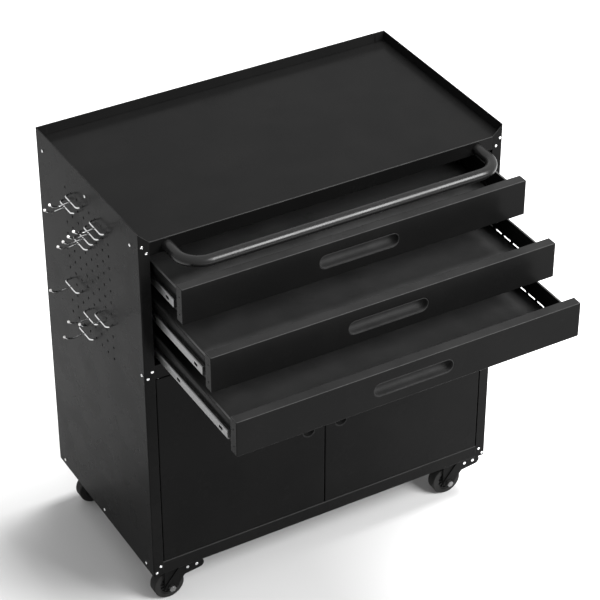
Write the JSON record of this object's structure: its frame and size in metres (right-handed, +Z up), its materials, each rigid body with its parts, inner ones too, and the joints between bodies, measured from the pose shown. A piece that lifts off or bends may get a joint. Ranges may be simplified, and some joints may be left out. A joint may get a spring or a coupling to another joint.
{
  "type": "rolling tool chest",
  "caption": "Black sheet-steel rolling tool chest with ball-slide drawers over a two-door cupboard, a push handle, a perforated side with wire hooks, and swivel casters.",
  "frame": {"origin": "on the floor, under the middle of the cabinet's width and depth", "axes": "+X to the right seen from the front, +Y to the back, +Z up"},
  "size_m": [0.811, 0.7224, 0.87],
  "materials": {
    "cabinet_steel": "satin black powder coat, fine texture",
    "front_steel": "satin black powder coat, fine texture",
    "worktop_steel": "semi-gloss black powder coat",
    "handle_tube": "semi-gloss black powder coat",
    "zinc": "bright zinc plate",
    "screws": "zinc plate, bright",
    "rivets": "bright",
    "hook_wire": "bright chrome wire",
    "hook_tips": "white moulded caps",
    "catch_plastic": "moulded",
    "pull_plastic": "fine moulded grain",
    "caster_steel": "black",
    "wheel_plastic": "moulded",
    "tyre_rubber": "matt"
  },
  "bodies": {
    "root": {"side_panel_left": "cabinet_steel", "side_panel_right": "cabinet_steel", "back_panel": "cabinet_steel", "worktop": "worktop_steel", "divider_panel": "cabinet_steel", "bottom_panel": "cabinet_steel", "base_channels": "cabinet_steel", "slide_uprights_left": "cabinet_steel", "slide_uprights_right": "cabinet_steel", "push_handle": "handle_tube", "handle_bolts": "zinc", "panel_screws": "screws", "peg_hooks": "hook_wire", "hook_tips": "hook_tips", "hinge_pins": "zinc", "magnetic_catches": "catch_plastic", "caster_plates": "zinc", "caster_bolts": "zinc", "slide_rails_1": "zinc", "slide_rails_2": "zinc", "slide_rails_3": "zinc"},
    "drawer_1": {"drawer_1_front": "front_steel", "drawer_1_tray": "cabinet_steel", "drawer_1_pull": "pull_plastic", "drawer_1_slides": "zinc"},
    "cages_1": {"drawer_1_cages": "zinc"},
    "drawer_2": {"drawer_2_front": "front_steel", "drawer_2_tray": "cabinet_steel", "drawer_2_pull": "pull_plastic", "drawer_2_slides": "zinc"},
    "cages_2": {"drawer_2_cages": "zinc"},
    "drawer_3": {"drawer_3_front": "front_steel", "drawer_3_tray": "cabinet_steel", "drawer_3_pull": "pull_plastic", "drawer_3_slides": "zinc"},
    "cages_3": {"drawer_3_cages": "zinc"},
    "door_left": {"door_left_panel": "front_steel", "door_left_pull": "pull_plastic"},
    "door_right": {"door_right_panel": "front_steel", "door_right_pull": "pull_plastic"},
    "fork_fl": {"caster_fl_fork": "caster_steel", "caster_fl_axle": "zinc"},
    "wheel_fl": {"caster_fl_wheel": "wheel_plastic", "caster_fl_tyre": "tyre_rubber"},
    "brake_fl": {"caster_fl_brake": "caster_steel", "caster_fl_rivets": "rivets"},
    "fork_fr": {"caster_fr_fork": "caster_steel", "caster_fr_axle": "zinc"},
    "wheel_fr": {"caster_fr_wheel": "wheel_plastic", "caster_fr_tyre": "tyre_rubber"},
    "brake_fr": {"caster_fr_brake": "caster_steel", "caster_fr_rivets": "rivets"},
    "fork_rl": {"caster_rl_fork": "caster_steel", "caster_rl_axle": "zinc"},
    "wheel_rl": {"caster_rl_wheel": "wheel_plastic", "caster_rl_tyre": "tyre_rubber"},
    "fork_rr": {"caster_rr_fork": "caster_steel", "caster_rr_axle": "zinc"},
    "wheel_rr": {"caster_rr_wheel": "wheel_plastic", "caster_rr_tyre": "tyre_rubber"}
  },
  "joints": [
    {"name": "drawer_1_slide", "type": "slide", "parent": "root", "child": "drawer_1", "axis": [0, -1, 0], "range_m": [-0.1143, 0.1877]},
    {"name": "cages_1_slide", "type": "slide", "parent": "root", "child": "cages_1", "axis": [0, -1, 0], "range_m": [-0.05765, 0.09435]},
    {"name": "drawer_2_slide", "type": "slide", "parent": "root", "child": "drawer_2", "axis": [0, -1, 0], "range_m": [-0.2151, 0.0869]},
    {"name": "cages_2_slide", "type": "slide", "parent": "root", "child": "cages_2", "axis": [0, -1, 0], "range_m": [-0.10805, 0.04395]},
    {"name": "drawer_3_slide", "type": "slide", "parent": "root", "child": "drawer_3", "axis": [0, -1, 0], "range_m": [-0.302, 0]},
    {"name": "cages_3_slide", "type": "slide", "parent": "root", "child": "cages_3", "axis": [0, -1, 0], "range_m": [-0.1515, 0.0005]},
    {"name": "door_left_hinge", "type": "hinge", "parent": "root", "child": "door_left", "pos_m": [-0.3465, -0.2052, 0.33925], "axis": [0, 0, -1], "range_deg": [0, 110]},
    {"name": "door_right_hinge", "type": "hinge", "parent": "root", "child": "door_right", "pos_m": [0.3465, -0.2052, 0.33925], "axis": [0, 0, 1], "range_deg": [0, 110]},
    {"name": "caster_fl_swivel", "type": "hinge", "parent": "root", "child": "fork_fl", "pos_m": [-0.318, -0.1667, 0.0835], "axis": [0, 0, 1], "continuous": true},
    {"name": "caster_fl_roll", "type": "hinge", "parent": "fork_fl", "child": "wheel_fl", "pos_m": [-0.328, -0.1667, 0.03175], "axis": [0, 1, 0], "continuous": true},
    {"name": "caster_fl_brake_hinge", "type": "hinge", "parent": "fork_fl", "child": "brake_fl", "pos_m": [-0.328, -0.1667, 0.03175], "axis": [0, 1, 0], "range_deg": [0, 12]},
    {"name": "caster_fr_swivel", "type": "hinge", "parent": "root", "child": "fork_fr", "pos_m": [0.318, -0.1667, 0.0835], "axis": [0, 0, 1], "continuous": true},
    {"name": "caster_fr_roll", "type": "hinge", "parent": "fork_fr", "child": "wheel_fr", "pos_m": [0.308, -0.1667, 0.03175], "axis": [0, 1, 0], "continuous": true},
    {"name": "caster_fr_brake_hinge", "type": "hinge", "parent": "fork_fr", "child": "brake_fr", "pos_m": [0.308, -0.1667, 0.03175], "axis": [0, 1, 0], "range_deg": [0, 12]},
    {"name": "caster_rl_swivel", "type": "hinge", "parent": "root", "child": "fork_rl", "pos_m": [-0.318, 0.1667, 0.0835], "axis": [0, 0, 1], "continuous": true},
    {"name": "caster_rl_roll", "type": "hinge", "parent": "fork_rl", "child": "wheel_rl", "pos_m": [-0.328, 0.1667, 0.03175], "axis": [0, 1, 0], "continuous": true},
    {"name": "caster_rr_swivel", "type": "hinge", "parent": "root", "child": "fork_rr", "pos_m": [0.318, 0.1667, 0.0835], "axis": [0, 0, 1], "continuous": true},
    {"name": "caster_rr_roll", "type": "hinge", "parent": "fork_rr", "child": "wheel_rr", "pos_m": [0.308, 0.1667, 0.03175], "axis": [0, 1, 0], "continuous": true}
  ],
  "couplings": [
    {"joint": "cages_1_slide", "follows": "drawer_1_slide", "ratio": 0.5},
    {"joint": "cages_2_slide", "follows": "drawer_2_slide", "ratio": 0.5},
    {"joint": "cages_3_slide", "follows": "drawer_3_slide", "ratio": 0.5}
  ]
}
